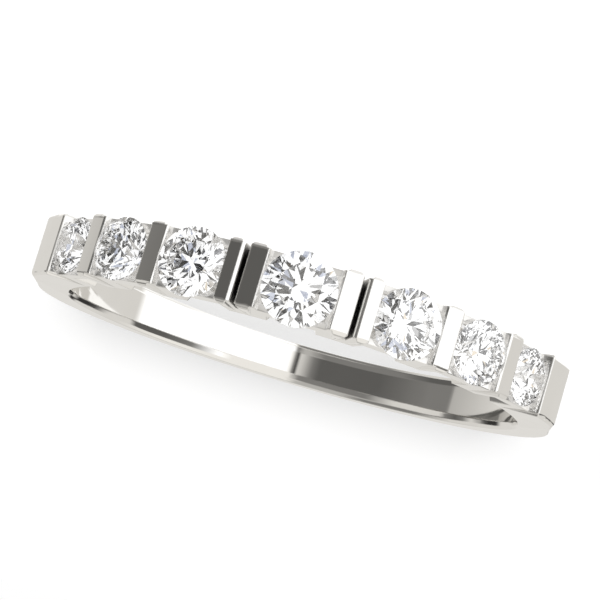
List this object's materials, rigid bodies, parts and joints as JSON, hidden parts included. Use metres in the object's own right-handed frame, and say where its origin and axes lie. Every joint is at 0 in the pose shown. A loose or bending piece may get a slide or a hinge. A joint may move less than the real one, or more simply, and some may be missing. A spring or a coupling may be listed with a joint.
{
  "type": "bar set ring band",
  "caption": "Slim ring band with a row of round brilliant stones held between upright bars, in polished white metal, lying on its side",
  "frame": {"origin": "below the middle of the ring's outline, at the level on which it lies", "axes": "+Z along the finger bore, upward as the ring lies on its side; -Y towards the middle stone of the head; +X across the ring"},
  "size_m": [0.0198, 0.0206, 0.0026],
  "materials": {
    "white_metal": "polished white gold or platinum",
    "stone": "clear faceted brilliant"
  },
  "bodies": {
    "root": {"band": "white_metal", "stone_1": "stone", "stone_2": "stone", "stone_3": "stone", "stone_4": "stone", "stone_5": "stone", "stone_6": "stone", "stone_7": "stone"}
  },
  "joints": []
}
